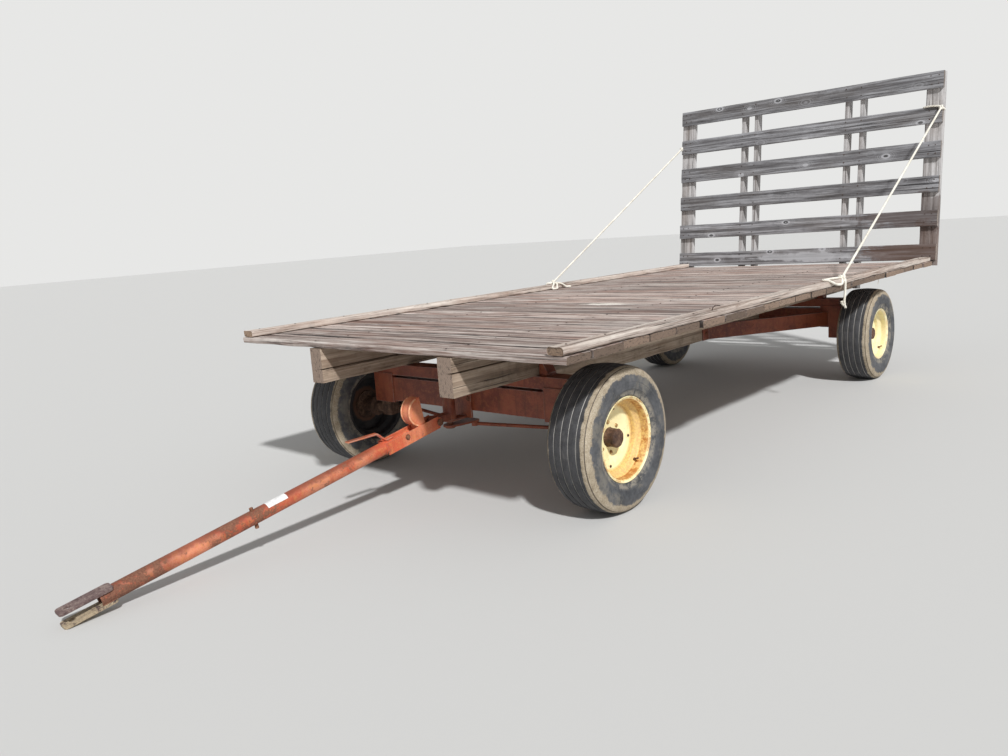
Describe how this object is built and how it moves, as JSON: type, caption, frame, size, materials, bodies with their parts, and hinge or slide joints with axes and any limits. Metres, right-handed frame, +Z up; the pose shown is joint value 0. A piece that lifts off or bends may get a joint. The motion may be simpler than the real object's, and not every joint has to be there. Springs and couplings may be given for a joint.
{
  "type": "hay wagon",
  "caption": "Flat wooden hay wagon with a slatted rear rack on a four-wheel steel gear, steered by a hinged tongue with a pin hitch.",
  "frame": {"origin": "on the ground, under the middle of the wagon's overall box with the tongue parked", "axes": "+Z up, the tongue points to -Y, +X is the wagon's left side"},
  "size_m": [2.48, 7.0222, 2.4652],
  "materials": {
    "tyre": "dusty ribbed rubber",
    "rim_front": "cream paint with rust",
    "rim_rear": "faded cream paint",
    "rusty_iron": "brown rust",
    "worn_iron": "worn brown iron",
    "gear_paint": "faded red paint with rust",
    "pin_steel": "rusty steel",
    "deck_wood": "weathered rough planks",
    "sill_wood": "weathered timber",
    "rail_wood": "bleached timber",
    "rack_wood": "grey weathered boards",
    "rope": "cream twisted rope"
  },
  "bodies": {
    "wagon": {"deck_planks": "deck_wood", "side_rails": "rail_wood", "sills": "sill_wood", "rack_slats": "rack_wood", "rack_posts": "rack_wood", "rack_uprights": "rack_wood", "rope_left": "rope", "rope_right": "rope", "front_axle": "gear_paint", "front_axle_ends": "gear_paint", "front_bolster": "gear_paint", "front_stakes": "gear_paint", "pivot_bracket": "gear_paint", "rear_axle": "gear_paint", "rear_axle_ends": "gear_paint", "rear_bolster": "gear_paint", "rear_stakes": "gear_paint", "reach_pole": "sill_wood", "reach_bracket": "gear_paint", "rear_braces": "gear_paint"},
    "steering": {"steering_hound": "gear_paint", "steering_plate": "gear_paint", "pivot_pin": "pin_steel", "hinge_pin": "pin_steel"},
    "tongue": {"tongue_head": "gear_paint", "tongue_tube": "gear_paint", "hitch_clevis": "worn_iron", "latch_lever": "gear_paint", "stop_bolt": "pin_steel"},
    "knuckle_left": {"knuckle_left": "rusty_iron"},
    "tie_rod_left": {"tie_rod_left": "gear_paint"},
    "wheel_front_left": {"tyre_front_left": "tyre", "rim_front_left": "rim_front", "hub_front_left": "rusty_iron"},
    "wheel_rear_left": {"tyre_rear_left": "tyre", "rim_rear_left": "rim_rear", "hub_rear_left": "rusty_iron"},
    "knuckle_right": {"knuckle_right": "rusty_iron"},
    "tie_rod_right": {"tie_rod_right": "gear_paint"},
    "wheel_front_right": {"tyre_front_right": "tyre", "rim_front_right": "rim_front", "hub_front_right": "rusty_iron"},
    "wheel_rear_right": {"tyre_rear_right": "tyre", "rim_rear_right": "rim_rear", "hub_rear_right": "rusty_iron"}
  },
  "joints": [
    {"name": "tongue_steer", "type": "hinge", "parent": "wagon", "child": "steering", "pos_m": [0, -1.44832, 0.388], "axis": [0, 0, 1], "range_deg": [-35, 35]},
    {"name": "tongue_lift", "type": "hinge", "parent": "steering", "child": "tongue", "pos_m": [0, -1.56332, 0.412], "axis": [-1, 0, 0], "range_deg": [0, 42]},
    {"name": "knuckle_left_turn", "type": "hinge", "parent": "wagon", "child": "knuckle_left", "pos_m": [0.7, -1.27832, 0.419], "axis": [0, 0, 1], "range_deg": [-35, 35]},
    {"name": "tie_rod_left_swing", "type": "hinge", "parent": "steering", "child": "tie_rod_left", "pos_m": [0.045, -1.29832, 0.346], "axis": [0, 0, 1], "range_deg": [-35, 35]},
    {"name": "wheel_front_left_spin", "type": "hinge", "parent": "knuckle_left", "child": "wheel_front_left", "pos_m": [0.942, -1.27832, 0.367], "axis": [1, 0, 0], "continuous": true},
    {"name": "wheel_rear_left_spin", "type": "hinge", "parent": "wagon", "child": "wheel_rear_left", "pos_m": [0.942, 2.41168, 0.367], "axis": [1, 0, 0], "continuous": true},
    {"name": "knuckle_right_turn", "type": "hinge", "parent": "wagon", "child": "knuckle_right", "pos_m": [-0.7, -1.27832, 0.419], "axis": [0, 0, 1], "range_deg": [-35, 35]},
    {"name": "tie_rod_right_swing", "type": "hinge", "parent": "steering", "child": "tie_rod_right", "pos_m": [-0.045, -1.29832, 0.346], "axis": [0, 0, 1], "range_deg": [-35, 35]},
    {"name": "wheel_front_right_spin", "type": "hinge", "parent": "knuckle_right", "child": "wheel_front_right", "pos_m": [-0.942, -1.27832, 0.367], "axis": [1, 0, 0], "continuous": true},
    {"name": "wheel_rear_right_spin", "type": "hinge", "parent": "wagon", "child": "wheel_rear_right", "pos_m": [-0.942, 2.41168, 0.367], "axis": [1, 0, 0], "continuous": true}
  ],
  "couplings": [
    {"joint": "knuckle_left_turn", "follows": "tongue_steer", "ratio": 1},
    {"joint": "tie_rod_left_swing", "follows": "tongue_steer", "ratio": -1},
    {"joint": "knuckle_right_turn", "follows": "tongue_steer", "ratio": 1},
    {"joint": "tie_rod_right_swing", "follows": "tongue_steer", "ratio": -1}
  ]
}
